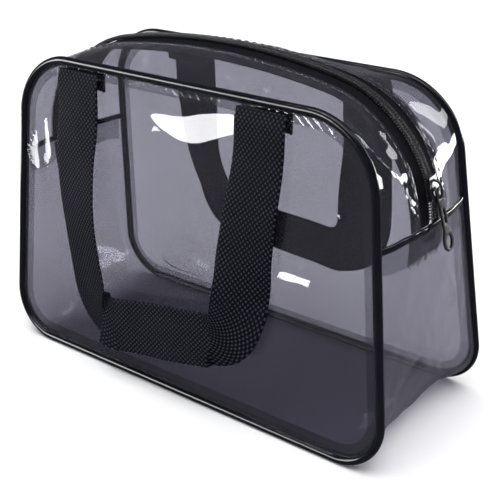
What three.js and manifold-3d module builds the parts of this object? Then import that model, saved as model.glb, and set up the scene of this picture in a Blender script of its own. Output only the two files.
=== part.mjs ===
// A clear makeup bag: two tilted see-through panels edged with black piping, one base gusset,
// a domed zip gusset over the top, a coil zip with its slider and pull tab, and two webbing handles.
// Millimetres, +Z up. X runs along the bag's width, the front faces -Y, and the zip closes at +X.
// The origin is on the surface that the bag stands on, under the middle of the bag.
import * as THREE from "three";
import { mergeVertices } from "three/addons/utils/BufferGeometryUtils.js";
import Module from "manifold-3d";

const wasm = await Module();
wasm.setup();

// ---- Driving dimensions ----
const GAP = 0.3; // clearance between pieces that touch on the real bag
const BEAD_R = 2.25; // piping bead radius
const FLANGE_WIDTH = 6; // piping flange, from the bead's centre inwards
const FLANGE_THICKNESS = 0.5;
const BASE_WIDTH = 280; // between piping centres at the base
const TOP_WIDTH = 245.4; // the same, if the top corners were square
const PANEL_HEIGHT = 184.5; // between the base and top piping centres
const BASE_DEPTH = 106.8; // between the two panels at the base
const TOP_DEPTH = 78.6;
const TOP_CORNER_R = 40.6;
const BASE_CORNER_R = 27.1;
const FLAT_HALF = 104; // the base gusset lies on the ground out to here
const TUCK = { x: 132, z: 30 }; // its middle is drawn in at the base's corner
const SIDE = { x: 134.6, z: 72 }; // and reaches the bag's side here
const SHEET = 0.6; // clear PVC thickness
const SEAM_Z = 124.3; // the side seams, where the zip gusset meets the base gusset
const SEAM_HEIGHT = 2.4; // folded binding over a side seam
const SEAM_THICKNESS = 1.6;
const ALLOWANCE_DEPTH = 12.5; // seam allowance that hangs inside below a side seam
const CROWN_Z = 200.5; // the zip's highest point
const CROWN_R = 380; // the zip line's radius over the top
const CROWN_HALF_ANGLE = THREE.MathUtils.degToRad(11.7);
const SHOULDER_R = 71; // the zip line's radius at each shoulder
const TAPE_THICKNESS = 0.5;
const TAPE_EDGE = 17; // outer edge of a zip tape, from the zip line
const STRIP_EDGE = 11; // hemmed edge of a zip gusset strip, from the zip line
const COIL_WIDTH = 2.9; // one side of the closed coil
const COIL_HEIGHT = 2.2;
const COIL_PARTED = 1.6; // how far each coil stands from the zip line below the slider
const SLIDER_ANGLE = THREE.MathUtils.degToRad(16); // the closed slider's place on the shoulder arc
const SLIDER_LENGTH = 14;
const SLIDER_WIDTH = 9.6;
const SLIDER_PLATE = 1.2;
const POST_WIDTH = 1.6; // the post that joins the slider's plates and parts the coils
const POST_LENGTH = 3;
const BAIL_WIRE = 1.4;
const BAIL_RISE = 3.8;
const BAIL_REACH = 4.76; // the bail's feet, from the slider's middle
const PIVOT_RISE = 2; // the pull's bar above the slider's top plate
const PULL_LENGTH = 36;
const PULL_WIDTH = 6.4;
const PULL_THICKNESS = 1.2;
const PULL_NECK = 0.8; // share of the pull's width that the blade keeps below its head
const HEAD_LENGTH = 6;
const NECK_START = 9;
const BAR_HALF = 0.9; // the pull's bar, above its pivot
const BAR_LOW = -0.8; // and below it
const PULL_RIM = 1.5; // metal left beside the bail's slot
const RING_LENGTH = 12; // the oval ring at the pull's end
const RING_HALF = 4.2;
const EYE_HALF = { x: 2.2, z: 4 }; // the ring's opening
const PULL_LEAN = THREE.MathUtils.degToRad(11); // the pull hangs a little towards the back
const PULL_OUT = THREE.MathUtils.degToRad(7.5); // and rests on the slider's nose, off the zip
const WEBBING_WIDTH = 32;
const WEBBING = 1.4; // webbing thickness
const ROOT_LENGTH = 8; // the strand's root below the seam, which bends as the mouth opens
const END_LENGTH = 12; // the strand's sewn-in end, inside the bag
const STRAP_TOP_OFFSET = 4; // strap's middle in front of the panel, at the seam
const STRAP_LOW_OFFSET = 7.5; // the same at the bottom of the loop
const STRAP_DRAPE = 90; // the drop over which a strand comes to its lower offset
const STRAND_BEND_Z = 140; // below this height a strand swings off the vertical
const LEFT_SWING = { x: -14, z: 115 };
const RIGHT_SWING = { x: 3, z: 120 };
const LOOP_CORNER = 24; // reach of the loop's rounded lower corners
const LOOP_LEAN = 3; // a strand leans towards the loop's middle this much over a corner
const LOOP_RISE = 2; // the loop's bottom run starts this much above its left corner
const TAIL_LENGTH = 17; // zip tape tail inside, below a side seam

const BASE_Z = BEAD_R;
const TOP_Z = BASE_Z + PANEL_HEIGHT;
const SIDE_LEAN = Math.atan2((BASE_WIDTH - TOP_WIDTH) / 2, PANEL_HEIGHT);
const CUT_LOW = SEAM_Z - GAP / 2; // the upper half turns away from the lower half at this height
const CUT_HIGH = SEAM_Z + GAP / 2;

// ---- Materials ----
const clearPvc = () => new THREE.MeshStandardMaterial({
  color: 0x8d8a98, roughness: 0.12, metalness: 0, transparent: true, opacity: 0.45,
});
const blackPvc = () => new THREE.MeshStandardMaterial({ color: 0x111113, roughness: 0.25 });
const webbing = () => new THREE.MeshStandardMaterial({ color: 0x1d1c20, roughness: 0.8 });
const tapeCloth = () => new THREE.MeshStandardMaterial({ color: 0x17171a, roughness: 0.85 });
const coilNylon = () => new THREE.MeshStandardMaterial({ color: 0x202024, roughness: 0.4 });
const darkMetal = () => new THREE.MeshStandardMaterial({ color: 0x1b1b1e, roughness: 0.35, metalness: 0.7 });

// ---- Shape of the bag ----
const halfWidthAt = (z) => (BASE_WIDTH + ((TOP_WIDTH - BASE_WIDTH) * (z - BASE_Z)) / PANEL_HEIGHT) / 2;
const halfDepthAt = (z) => (BASE_DEPTH + ((TOP_DEPTH - BASE_DEPTH) * (z - BASE_Z)) / PANEL_HEIGHT) / 2;

// The centre of a corner arc of radius r, in the X-Z plane; side edges lean in by SIDE_LEAN.
function cornerCentre(r, atTop) {
  const z = atTop ? TOP_Z - r : BASE_Z + r;
  return { x: halfWidthAt(z) - r / Math.cos(SIDE_LEAN), z };
}

// The right half of the panel outline from the middle of the top edge down to height z.
function topOutline(z) {
  const c = cornerCentre(TOP_CORNER_R, true);
  const path = new THREE.Path();
  path.moveTo(0, TOP_Z);
  path.lineTo(c.x, TOP_Z);
  path.absarc(c.x, c.z, TOP_CORNER_R, Math.PI / 2, SIDE_LEAN, true);
  path.lineTo(halfWidthAt(z), z);
  return path;
}

// The right half of the panel outline from the middle of the base edge up to height z.
function baseOutline(z) {
  const c = cornerCentre(BASE_CORNER_R, false);
  const path = new THREE.Path();
  path.moveTo(0, BASE_Z);
  path.lineTo(c.x, BASE_Z);
  path.absarc(c.x, c.z, BASE_CORNER_R, -Math.PI / 2, SIDE_LEAN, false);
  path.lineTo(halfWidthAt(z), z);
  return path;
}

const shoulder = {
  x: (CROWN_R - SHOULDER_R) * Math.sin(CROWN_HALF_ANGLE),
  z: CROWN_Z - CROWN_R + (CROWN_R - SHOULDER_R) * Math.cos(CROWN_HALF_ANGLE),
};

// The right half of the zip line from the top of the crown down to height z.
function crownLine(z) {
  const path = new THREE.Path();
  path.absarc(0, CROWN_Z - CROWN_R, CROWN_R, Math.PI / 2, Math.PI / 2 - CROWN_HALF_ANGLE, true);
  const end = Math.asin((z - shoulder.z) / SHOULDER_R);
  path.absarc(shoulder.x, shoulder.z, SHOULDER_R, Math.PI / 2 - CROWN_HALF_ANGLE, end, true);
  return path;
}

// The right half of the base gusset's middle line: flat on the ground, drawn in at the corner.
function baseMiddleLine(z) {
  const flat = SHEET / 2;
  const path = new THREE.Path();
  path.moveTo(0, flat);
  path.lineTo(FLAT_HALF, flat);
  path.bezierCurveTo(TUCK.x - 4, flat, TUCK.x, TUCK.z, SIDE.x, SIDE.z);
  path.lineTo(shoulder.x + SHOULDER_R, z);
  return path;
}

// A point and outward normal in the X-Z plane at u, from -1 (left end) through 0 (middle) to 1.
// up is 1 for a line over the top of the bag, and -1 for one under its base.
function station(path, u, up) {
  const t = Math.min(Math.abs(u), 1);
  const p = path.getPointAt(t);
  const d = path.getTangentAt(t);
  const mirror = u < 0 ? -1 : 1;
  return { x: p.x * mirror, z: p.y, nx: -d.y * up * mirror, nz: d.x * up };
}

const lerp = THREE.MathUtils.lerp;

// The gusset surface: an edge line at each panel and a middle line between them.
function makeGusset(edgeLine, middleLine, up, flatShare) {
  return function pointOn(u, y, offset) {
    const e = station(edgeLine, u, up);
    const m = station(middleLine, u, up);
    const reach = halfDepthAt(e.z) - BEAD_R - GAP;
    const flat = flatShare(Math.abs(u));
    const v = Math.max(0, (Math.min(Math.abs(y) / reach, 1) - flat) / (1 - flat));
    const w = 1 - v * v;
    const nx = lerp(e.nx, m.nx, w);
    const nz = lerp(e.nz, m.nz, w);
    const length = Math.hypot(nx, nz);
    return new THREE.Vector3(
      lerp(e.x, m.x, w) + (nx / length) * offset,
      y,
      lerp(e.z, m.z, w) + (nz / length) * offset,
    );
  };
}

const zipStart = CUT_HIGH + GAP; // lower end of everything on the upper half's sides
const zipEdge = topOutline(zipStart);
const zipMiddle = crownLine(zipStart);
const zipSurface = makeGusset(zipEdge, zipMiddle, 1, () => 0);
const baseEnd = SEAM_Z - SEAM_HEIGHT - GAP; // upper end of the base gusset
const baseEdge = baseOutline(baseEnd);
const baseMiddle = baseMiddleLine(baseEnd);
const BASE_FLAT = 0.78; // share of the base's depth that lies flat
const flatOnBase = (u) => BASE_FLAT * (1 - THREE.MathUtils.smoothstep(u, 0.4, 0.62));
const baseSurface = makeGusset(baseEdge, baseMiddle, -1, flatOnBase);

const reachAt = (edgeLine, u) => halfDepthAt(station(edgeLine, u, 1).z) - BEAD_R - GAP;

// ---- Solids ----
// A closed body through rings of points, one ring after another, with both ends capped.
// A ring's first half runs one way along the section and its second half comes back.
function sweep(rings) {
  const size = rings[0].length;
  const positions = rings.flat().flatMap((p) => [p.x, p.y, p.z]);
  const faces = [];
  const quad = (a, b, c, d) => faces.push(a, b, c, a, c, d);
  for (let i = 0; i + 1 < rings.length; i++)
    for (let j = 0; j < size; j++) {
      const k = (j + 1) % size;
      quad(i * size + j, i * size + k, (i + 1) * size + k, (i + 1) * size + j);
    }
  const last = (rings.length - 1) * size;
  for (let j = 0; j + 1 < size / 2; j++) {
    const far = size - 1 - j;
    quad(j + 1, j, far, far - 1);
    quad(last + j, last + j + 1, last + far - 1, last + far);
  }
  return facingOut(positions, faces);
}

function facingOut(positions, faces) {
  const at = (i) => new THREE.Vector3().fromArray(positions, 3 * i);
  let volume = 0;
  for (let i = 0; i < faces.length; i += 3)
    volume += at(faces[i]).dot(at(faces[i + 1]).cross(at(faces[i + 2])));
  if (volume < 0)
    for (let i = 0; i < faces.length; i += 3)
      [faces[i + 1], faces[i + 2]] = [faces[i + 2], faces[i + 1]];
  const geometry = new THREE.BufferGeometry();
  geometry.setAttribute("position", new THREE.Float32BufferAttribute(positions, 3));
  geometry.setIndex(faces);
  geometry.computeVertexNormals();
  return geometry;
}

const spread = (count, from, to) =>
  Array.from({ length: count + 1 }, (_, i) => lerp(from, to, i / count));

// A sheet on a gusset surface. yRange(u) gives its two edges; middle is its offset off the surface.
function gussetSheet(pointOn, uSteps, yRange, ySteps, middle, thickness) {
  return sweep(uSteps.map((u) => {
    const [from, to] = yRange(u);
    const ys = spread(ySteps, from, to);
    const outer = ys.map((y) => pointOn(u, y, middle + thickness / 2));
    const inner = ys.map((y) => pointOn(u, y, middle - thickness / 2)).reverse();
    return [...outer, ...inner];
  }));
}

const ZIP_STATIONS = spread(44, -1, 1);
const BASE_STATIONS = spread(44, -1, 1);

// ---- Base, panels and piping ----
function baseGusset() {
  const edge = (u) => reachAt(baseEdge, u);
  return gussetSheet(baseSurface, BASE_STATIONS, (u) => [-edge(u), edge(u)], 8, 0, SHEET);
}

// Turns a flat shape drawn in X and Z into a sheet lying in the front panel's tilted plane.
function onFrontPanel(shape, thickness, middle) {
  const flat = new THREE.ExtrudeGeometry(shape, { depth: thickness, bevelEnabled: false });
  flat.deleteAttribute("normal");
  flat.deleteAttribute("uv");
  const geometry = mergeVertices(flat, 1e-4);
  const p = geometry.getAttribute("position");
  for (let i = 0; i < p.count; i++) {
    const z = p.getY(i);
    p.setXYZ(i, p.getX(i), -(halfDepthAt(z) + middle - thickness / 2 + p.getZ(i)), z);
  }
  geometry.computeVertexNormals();
  return geometry;
}

const PANEL_INSET = BEAD_R + GAP;

// A closed outline from the right half of one, moved inwards and mirrored.
function mirroredShape(path, steps, up) {
  const right = spread(steps, 0, 1).map((t) => {
    const s = station(path, t, up);
    return new THREE.Vector2(s.x - s.nx * PANEL_INSET, s.z - s.nz * PANEL_INSET);
  });
  const left = right.slice(1).map((p) => new THREE.Vector2(-p.x, p.y)).reverse();
  return new THREE.Shape([...left, ...right]);
}

const frontPanelUpper = () => onFrontPanel(mirroredShape(topOutline(CUT_HIGH), 22, 1), SHEET, 0);
const frontPanelLower = () => onFrontPanel(mirroredShape(baseOutline(CUT_LOW), 22, -1), SHEET, 0);

// The piping's section as [outwards, into the bag]: the flange's tip, round the bead and back.
function pipingSection() {
  const layer = SHEET / 2 + GAP + FLANGE_THICKNESS / 2; // the flange lies behind the panel
  const high = layer - FLANGE_THICKNESS / 2;
  const low = layer + FLANGE_THICKNESS / 2;
  const start = Math.PI - Math.asin(high / BEAD_R);
  const end = 3 * Math.PI - Math.asin(low / BEAD_R);
  const bead = spread(7, start, end).map((a) => [BEAD_R * Math.cos(a), BEAD_R * Math.sin(a)]);
  return [[-FLANGE_WIDTH, high], ...bead, [-FLANGE_WIDTH, low]];
}

function piping(path, up) {
  const section = pipingSection();
  return sweep(spread(40, -1, 1).map((u) => {
    const s = station(path, u, up);
    return section.map(([out, into]) => {
      const z = s.z + s.nz * out;
      return new THREE.Vector3(s.x + s.nx * out, into - halfDepthAt(z), z);
    });
  }));
}

const frontPipingUpper = () => piping(topOutline(CUT_HIGH), 1);
const frontPipingLower = () => piping(baseOutline(CUT_LOW), -1);

// ---- Side seams ----
// A level strip across the bag's side between heights zLow and zHigh, at an offset from the side.
function sideBand(zLow, zHigh, halfDepth, middle, thickness) {
  const bulge = shoulder.x + SHOULDER_R;
  const out = (z, y) => {
    const v = y / (halfDepthAt(z) - BEAD_R - GAP);
    return lerp(bulge, halfWidthAt(z), v * v) + middle;
  };
  return sweep(spread(14, -halfDepth, halfDepth).map((y) => [
    new THREE.Vector3(out(zLow, y) + thickness / 2, y, zLow),
    new THREE.Vector3(out(zHigh, y) + thickness / 2, y, zHigh),
    new THREE.Vector3(out(zHigh, y) - thickness / 2, y, zHigh),
    new THREE.Vector3(out(zLow, y) - thickness / 2, y, zLow),
  ]));
}

const seamReach = halfDepthAt(SEAM_Z) - BEAD_R - GAP;
const seamBinding = () =>
  sideBand(SEAM_Z - SEAM_HEIGHT, SEAM_Z - GAP, seamReach, 0, SEAM_THICKNESS);
const allowanceLayer = -(SHEET + GAP); // inside the base gusset
const allowanceTop = baseEnd - GAP;
const seamAllowance = () => sideBand(
  allowanceTop - ALLOWANCE_DEPTH, allowanceTop, seamReach - FLANGE_WIDTH / 4, allowanceLayer, SHEET);
const tailLayer = allowanceLayer - SHEET / 2 - GAP - TAPE_THICKNESS / 2;
const zipTail = () =>
  sideBand(allowanceTop - TAIL_LENGTH, allowanceTop, TAPE_EDGE, tailLayer, TAPE_THICKNESS);

// ---- Zip ----
const frontZipStrip = () => gussetSheet(
  zipSurface, ZIP_STATIONS, (u) => [-reachAt(zipEdge, u), -STRIP_EDGE], 3, 0, SHEET);
const tapeLayer = -(SHEET / 2 + GAP + TAPE_THICKNESS / 2);
const tapeInnerEdge = (u) => -(coilStandOff(u) + GAP);
const frontZipTape = () => gussetSheet(
  zipSurface, ZIP_STATIONS, (u) => [-TAPE_EDGE, tapeInnerEdge(u)], 1, tapeLayer, TAPE_THICKNESS);
const coilLayer = tapeLayer + TAPE_THICKNESS / 2 + GAP + COIL_HEIGHT / 2;

// The share of the half zip line that lies between its crown and the closed slider.
const crownArc = CROWN_R * CROWN_HALF_ANGLE;
const shoulderArc = (angle) => SHOULDER_R * (Math.PI / 2 - CROWN_HALF_ANGLE - angle);
const halfZipLength = crownArc + shoulderArc(Math.asin((zipStart - shoulder.z) / SHOULDER_R));
const sliderShare = (crownArc + shoulderArc(SLIDER_ANGLE)) / halfZipLength;
const partShare = (SLIDER_LENGTH * 0.45) / halfZipLength;

// Closed coils meet at the zip line; below the slider they stand apart.
function coilStandOff(u) {
  const open = THREE.MathUtils.smoothstep(u, sliderShare - partShare / 2, sliderShare + partShare / 3);
  return lerp(GAP, COIL_PARTED, open);
}

function frontZipCoil() {
  const stations = [...spread(48, -1, sliderShare - partShare), ...spread(8, sliderShare - partShare / 2, 1)];
  const edges = (u) => [-(coilStandOff(u) + COIL_WIDTH), -coilStandOff(u)];
  return gussetSheet(zipSurface, stations, edges, 1, coilLayer, COIL_HEIGHT);
}

// ---- Slider and pull tab, drawn about the zip line with X outwards and Z up along the zip ----
function toSolid(geometry) {
  const bare = geometry.clone();
  bare.deleteAttribute("normal");
  bare.deleteAttribute("uv");
  const merged = mergeVertices(bare, 1e-4);
  return new wasm.Manifold(new wasm.Mesh({
    numProp: 3,
    vertProperties: merged.getAttribute("position").array,
    triVerts: new Uint32Array(merged.index.array),
  }));
}

function fromSolid(solid) {
  const mesh = solid.getMesh();
  const geometry = new THREE.BufferGeometry();
  geometry.setAttribute("position", new THREE.Float32BufferAttribute(mesh.vertProperties, 3));
  geometry.setIndex([...mesh.triVerts]);
  geometry.computeVertexNormals();
  return geometry;
}

const box = (x, y, z, cx, cy, cz) => toSolid(new THREE.BoxGeometry(x, y, z).translate(cx, cy, cz));

const ARC_SAG = SLIDER_LENGTH ** 2 / (8 * SHOULDER_R) + GAP; // room for the curved zip in the slider
const plateTop = coilLayer + COIL_HEIGHT / 2 + ARC_SAG;
const plateUnder = tapeLayer - TAPE_THICKNESS / 2 - ARC_SAG;

// A slider plate's outline: round-shouldered at the nose, which points down, narrow at the tail.
function sliderOutline() {
  const w = SLIDER_WIDTH / 2;
  const l = SLIDER_LENGTH / 2;
  const nose = { w: 0.55 * w, l: -0.55 * l };
  const tail = { w: 0.72 * w, l: 0.45 * l };
  const waist = { from: -0.1 * l, bend: 0.3 * l };
  const shape = new THREE.Shape();
  shape.moveTo(-nose.w, -l);
  shape.lineTo(nose.w, -l);
  shape.quadraticCurveTo(w, -l, w, nose.l);
  shape.lineTo(w, waist.from);
  shape.quadraticCurveTo(w, waist.bend, tail.w, tail.l);
  shape.lineTo(tail.w, l);
  shape.lineTo(-tail.w, l);
  shape.lineTo(-tail.w, tail.l);
  shape.quadraticCurveTo(-w, waist.bend, -w, waist.from);
  shape.lineTo(-w, nose.l);
  shape.quadraticCurveTo(-w, -l, -nose.w, -l);
  return shape;
}

function sliderPlate(from) {
  const plate = new THREE.ExtrudeGeometry(sliderOutline(), {
    depth: SLIDER_PLATE, bevelEnabled: false, curveSegments: 5,
  });
  plate.applyMatrix4(new THREE.Matrix4().makeBasis(
    new THREE.Vector3(0, 1, 0), new THREE.Vector3(0, 0, 1), new THREE.Vector3(1, 0, 0)));
  return toSolid(plate.translate(from, 0, 0));
}

// The bail arches over the top plate from the nose to the tail.
function bail() {
  const foot = plateTop + SLIDER_PLATE / 2;
  const knee = { out: foot + BAIL_RISE * 0.85, along: BAIL_REACH * 0.8 };
  const line = new THREE.CatmullRomCurve3([
    new THREE.Vector3(foot, 0, -BAIL_REACH),
    new THREE.Vector3(knee.out, 0, -knee.along),
    new THREE.Vector3(foot + BAIL_RISE + BAIL_WIRE / 2, 0, 0),
    new THREE.Vector3(knee.out, 0, knee.along),
    new THREE.Vector3(foot, 0, BAIL_REACH),
  ]);
  const r = BAIL_WIRE / 2;
  const section = new THREE.Shape(spread(7, 0, 7).map((i) =>
    new THREE.Vector2(r * Math.cos((i * Math.PI) / 4), r * Math.sin((i * Math.PI) / 4))));
  return toSolid(new THREE.ExtrudeGeometry(section, { steps: 16, extrudePath: line, bevelEnabled: false }));
}

function sliderBody() {
  const postLow = plateUnder - SLIDER_PLATE / 2;
  const postHigh = plateTop + SLIDER_PLATE / 2;
  const post = box(postHigh - postLow, POST_WIDTH, POST_LENGTH, (postHigh + postLow) / 2, 0, -BAIL_REACH);
  const plates = sliderPlate(plateTop).add(sliderPlate(plateUnder - SLIDER_PLATE));
  return fromSolid(plates.add(post).add(bail()));
}

const pivotOut = plateTop + SLIDER_PLATE + PIVOT_RISE; // the pull's bar, under the bail

// The pull: a bar through the bail, a flat blade, and an oval ring at its end; it hangs along -Z.
function pullTab() {
  const tab = new THREE.ExtrudeGeometry(pullOutline(), {
    depth: PULL_THICKNESS, bevelEnabled: false, curveSegments: 10,
  });
  return tab.translate(0, 0, -PULL_THICKNESS / 2).applyMatrix4(new THREE.Matrix4().makeBasis(
    new THREE.Vector3(0, 1, 0), new THREE.Vector3(0, 0, 1), new THREE.Vector3(1, 0, 0)));
}

function pullOutline() {
  const w = PULL_WIDTH / 2;
  const neck = PULL_NECK * w;
  const ringTop = RING_LENGTH - PULL_LENGTH;
  const ringBend = { x: RING_HALF * 1.35, y: RING_LENGTH * 0.7 - PULL_LENGTH };
  const outline = new THREE.Shape();
  outline.moveTo(-w, BAR_HALF);
  outline.lineTo(-w, -HEAD_LENGTH);
  outline.lineTo(-neck, -NECK_START);
  outline.lineTo(-neck, ringTop);
  outline.bezierCurveTo(-ringBend.x, ringBend.y, -ringBend.x, -PULL_LENGTH, 0, -PULL_LENGTH);
  outline.bezierCurveTo(ringBend.x, -PULL_LENGTH, ringBend.x, ringBend.y, neck, ringTop);
  outline.lineTo(neck, -NECK_START);
  outline.lineTo(w, -HEAD_LENGTH);
  outline.lineTo(w, BAR_HALF);
  outline.closePath();
  outline.holes.push(bailSlot(), ringEye());
  return outline;
}

// The opening below the pull's bar, which the bail passes through.
function bailSlot() {
  const half = PULL_WIDTH / 2 - PULL_RIM;
  const top = BAR_LOW;
  const low = PULL_RIM * 0.4 - HEAD_LENGTH;
  const slot = new THREE.Path();
  slot.moveTo(-half, top);
  slot.lineTo(half, top);
  slot.lineTo(half, low);
  slot.lineTo(-half, low);
  slot.closePath();
  return slot;
}

function ringEye() {
  const middle = RING_LENGTH * 0.45 - PULL_LENGTH;
  return new THREE.Path(spread(13, 0, 13).map((i) => {
    const a = (i * Math.PI) / 7;
    return new THREE.Vector2(EYE_HALF.x * Math.sin(a), EYE_HALF.z * Math.cos(a) + middle);
  }));
}

// ---- Handles ----
const ROOT_TOP_Z = TOP_Z - PANEL_INSET - GAP;
const STRAP_TOP_Z = ROOT_TOP_Z - ROOT_LENGTH - GAP;

// A strap's middle line in the panel's plane: down one strand, across, and up the other.
function strapLine(strands, bottom) {
  const [left, right] = strands;
  const path = new THREE.Path();
  path.moveTo(left.top, STRAP_TOP_Z);
  path.bezierCurveTo(left.top, STRAND_BEND_Z, left.low + LEFT_SWING.x, LEFT_SWING.z,
    left.low, bottom.left + LOOP_CORNER);
  path.quadraticCurveTo(left.low + LOOP_LEAN, bottom.left,
    left.low + LOOP_CORNER, bottom.left + LOOP_RISE);
  path.lineTo(right.low - LOOP_CORNER, bottom.right - LOOP_RISE);
  path.quadraticCurveTo(right.low - LOOP_LEAN, bottom.right, right.low, bottom.right + LOOP_CORNER);
  path.bezierCurveTo(right.low + RIGHT_SWING.x, RIGHT_SWING.z, right.top, STRAND_BEND_Z,
    right.top, STRAP_TOP_Z);
  return path;
}

const strapOffsetAt = (z) =>
  lerp(STRAP_TOP_OFFSET, STRAP_LOW_OFFSET, THREE.MathUtils.smoothstep(TOP_Z - z, 0, STRAP_DRAPE));

function strap(path) {
  return sweep(spread(48, 0, 1).map((t) => {
    const p = path.getPointAt(t);
    const d = path.getTangentAt(t);
    const edge = (across, layer) => {
      const x = p.x - d.y * across;
      const z = p.y + d.x * across;
      return new THREE.Vector3(x, -(halfDepthAt(p.y) + strapOffsetAt(p.y) + layer), z);
    };
    const w = WEBBING_WIDTH / 2;
    const h = WEBBING / 2;
    return [edge(-w, h), edge(w, h), edge(w, -h), edge(-w, -h)];
  }));
}

const frontStrands = [{ top: -74, low: -66 }, { top: 58, low: 50 }];
const backStrands = [{ top: -61, low: -58 }, { top: 66, low: 58 }];
const frontBottom = { left: 34, right: 50 };
const backBottom = { left: 63, right: 63 };

// A level piece of a strand, hanging from zTop, with its middle at an offset in front of the panel.
function strandPiece(x, zTop, length, offset) {
  const half = WEBBING_WIDTH / 2;
  const shape = new THREE.Shape([
    new THREE.Vector2(x - half, zTop - length), new THREE.Vector2(x + half, zTop - length),
    new THREE.Vector2(x + half, zTop), new THREE.Vector2(x - half, zTop),
  ]);
  return onFrontPanel(shape, WEBBING, offset);
}

const strandRoot = (x) => strandPiece(x, ROOT_TOP_Z, ROOT_LENGTH, STRAP_TOP_OFFSET);
const behindFlange = -(SHEET / 2 + GAP + FLANGE_THICKNESS + GAP + WEBBING / 2);
const strandEnd = (x) => strandPiece(x, TOP_Z - PANEL_INSET, END_LENGTH, behindFlange);

// ---- Assembly ----
const bag = new THREE.Group();

function add(name, geometry, material, parent = bag) {
  const mesh = new THREE.Mesh(geometry, material);
  mesh.name = name;
  parent.add(mesh);
  return mesh;
}

add("base_gusset", baseGusset(), clearPvc());

for (const [side, mirror] of [["front", 1], ["back", -1]]) {
  const half = new THREE.Group();
  half.scale.y = mirror;
  bag.add(half);
  add(side + "_panel_lower", frontPanelLower(), clearPvc(), half);
  add(side + "_panel_upper", frontPanelUpper(), clearPvc(), half);
  add(side + "_piping_lower", frontPipingLower(), blackPvc(), half);
  add(side + "_piping_upper", frontPipingUpper(), blackPvc(), half);
  add(side + "_zip_strip", frontZipStrip(), clearPvc(), half);
  add(side + "_zip_tape", frontZipTape(), tapeCloth(), half);
  add(side + "_zip_coil", frontZipCoil(), coilNylon(), half);
  const strands = side === "front" ? frontStrands : backStrands;
  const bottom = side === "front" ? frontBottom : backBottom;
  add(side + "_handle", strap(strapLine(strands, bottom)), webbing(), half);
  for (const [hand, strand] of [["left", strands[0]], ["right", strands[1]]]) {
    add(side + "_handle_root_" + hand, strandRoot(strand.top), webbing(), half);
    add(side + "_handle_end_" + hand, strandEnd(strand.top), webbing(), half);
  }
}

for (const [side, mirror] of [["right", 1], ["left", -1]]) {
  const end = new THREE.Group();
  end.scale.x = mirror;
  bag.add(end);
  add(side + "_seam_binding", seamBinding(), blackPvc(), end);
  add(side + "_seam_allowance", seamAllowance(), clearPvc(), end);
  add(side + "_zip_tail", zipTail(), tapeCloth(), end);
}

const slider = new THREE.Group();
slider.position.set(
  shoulder.x + SHOULDER_R * Math.cos(SLIDER_ANGLE), 0, shoulder.z + SHOULDER_R * Math.sin(SLIDER_ANGLE));
slider.rotation.y = -SLIDER_ANGLE;
bag.add(slider);
add("slider_body", sliderBody(), darkMetal(), slider);

const pull = new THREE.Group();
pull.position.set(
  slider.position.x + pivotOut * Math.cos(SLIDER_ANGLE), 0,
  slider.position.z + pivotOut * Math.sin(SLIDER_ANGLE));
pull.rotation.set(PULL_LEAN, -PULL_OUT, 0);
bag.add(pull);
add("pull_tab", pullTab(), darkMetal(), pull);

export default bag;
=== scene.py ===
"""The looks of a clear makeup bag: smoke PVC sheets, black piping, a coil zip and two webbing handles.

Lengths are in millimetres in the CAD frame and become metres when a mesh is made.
+X runs along the bag's width, the front faces -Y, +Z is up and the floor is at Z 0.
"""

import math

import bmesh
import bpy
import numpy as np
from mathutils import Matrix, Vector


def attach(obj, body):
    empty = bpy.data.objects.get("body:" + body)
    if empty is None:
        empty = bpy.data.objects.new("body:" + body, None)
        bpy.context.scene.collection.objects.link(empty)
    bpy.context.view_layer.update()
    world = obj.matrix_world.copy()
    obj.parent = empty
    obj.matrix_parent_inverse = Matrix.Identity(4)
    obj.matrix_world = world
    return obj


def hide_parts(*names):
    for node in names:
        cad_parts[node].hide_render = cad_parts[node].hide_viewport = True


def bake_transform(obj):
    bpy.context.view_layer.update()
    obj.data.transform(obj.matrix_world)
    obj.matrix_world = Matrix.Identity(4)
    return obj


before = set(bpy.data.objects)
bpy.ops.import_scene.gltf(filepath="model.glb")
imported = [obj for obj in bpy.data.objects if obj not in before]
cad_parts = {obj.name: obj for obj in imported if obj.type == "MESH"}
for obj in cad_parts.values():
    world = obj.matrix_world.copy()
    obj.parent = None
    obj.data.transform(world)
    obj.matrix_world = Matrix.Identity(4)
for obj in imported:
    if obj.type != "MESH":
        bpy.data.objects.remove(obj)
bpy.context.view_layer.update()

MM = 0.001

# ---- Driving dimensions, the same as the CAD part's ----
GAP = 0.3
BEAD_R = 2.25
BASE_WIDTH = 280
TOP_WIDTH = 245.4
PANEL_HEIGHT = 184.5
BASE_DEPTH = 106.8
TOP_DEPTH = 78.6
TOP_CORNER_R = 40.6
BASE_CORNER_R = 27.1
FLAT_HALF = 104
TUCK = (132, 30)
SIDE_REACH = (134.6, 72)
SHEET = 0.6
SEAM_Z = 124.3
CROWN_Z = 200.5
CROWN_R = 380
CROWN_HALF_ANGLE = math.radians(11.7)
SHOULDER_R = 71
STRIP_EDGE = 11
TAPE_EDGE = 17
TAPE = 0.5
COIL_WIDTH = 2.9
COIL_HEIGHT = 2.2
COIL_PARTED = 1.6
SLIDER_ANGLE = math.radians(16)
SLIDER_LENGTH = 14
SLIDER_WIDTH = 9.6
SLIDER_PLATE = 1.2
BAIL_WIRE = 1.4
BAIL_RISE = 3.8
PIVOT_RISE = 2
PULL_LENGTH = 36
PULL_WIDTH = 6.4
PULL_THICKNESS = 1.2
PULL_LEAN = math.radians(11)
PULL_OUT = math.radians(7.5)
WEBBING_WIDTH = 32
WEBBING = 1.4
STRAP_TOP_OFFSET = 4
STRAP_LOW_OFFSET = 7.5

BASE_Z = BEAD_R
TOP_Z = BASE_Z + PANEL_HEIGHT
SIDE_LEAN = math.atan2((BASE_WIDTH - TOP_WIDTH) / 2, PANEL_HEIGHT)
ZIP_START = SEAM_Z + 0.45
BASE_END = SEAM_Z - 2.7


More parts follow.
